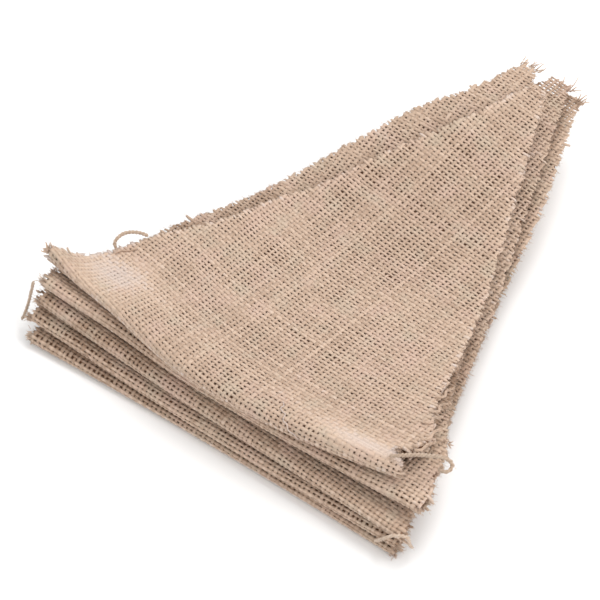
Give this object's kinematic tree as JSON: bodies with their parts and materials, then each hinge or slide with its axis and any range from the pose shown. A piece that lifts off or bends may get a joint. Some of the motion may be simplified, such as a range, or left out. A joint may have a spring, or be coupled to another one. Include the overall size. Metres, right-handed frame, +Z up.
{
  "type": "fabric bunting",
  "caption": "Stack of five raw-edged natural hessian bunting flags, each a diamond folded once to a point, not strung on a cord.",
  "frame": {"origin": "centre of the stack's outline in plan, on the surface that it rests on", "axes": "+Z up, +X along the folds from left to right, +Y from the folds to the points"},
  "size_m": [0.201, 0.2504, 0.0493],
  "materials": {
    "hessian": "matte",
    "jute_yarn": "matte"
  },
  "bodies": {
    "root": {"flag_1": "hessian", "flag_2": "hessian", "flag_3": "hessian", "flag_4": "hessian", "flag_5": "hessian", "yarn_back_left": "jute_yarn", "yarn_curl_right": "jute_yarn", "yarn_low_right": "jute_yarn", "yarn_left": "jute_yarn", "yarn_left_link": "jute_yarn"}
  },
  "joints": []
}
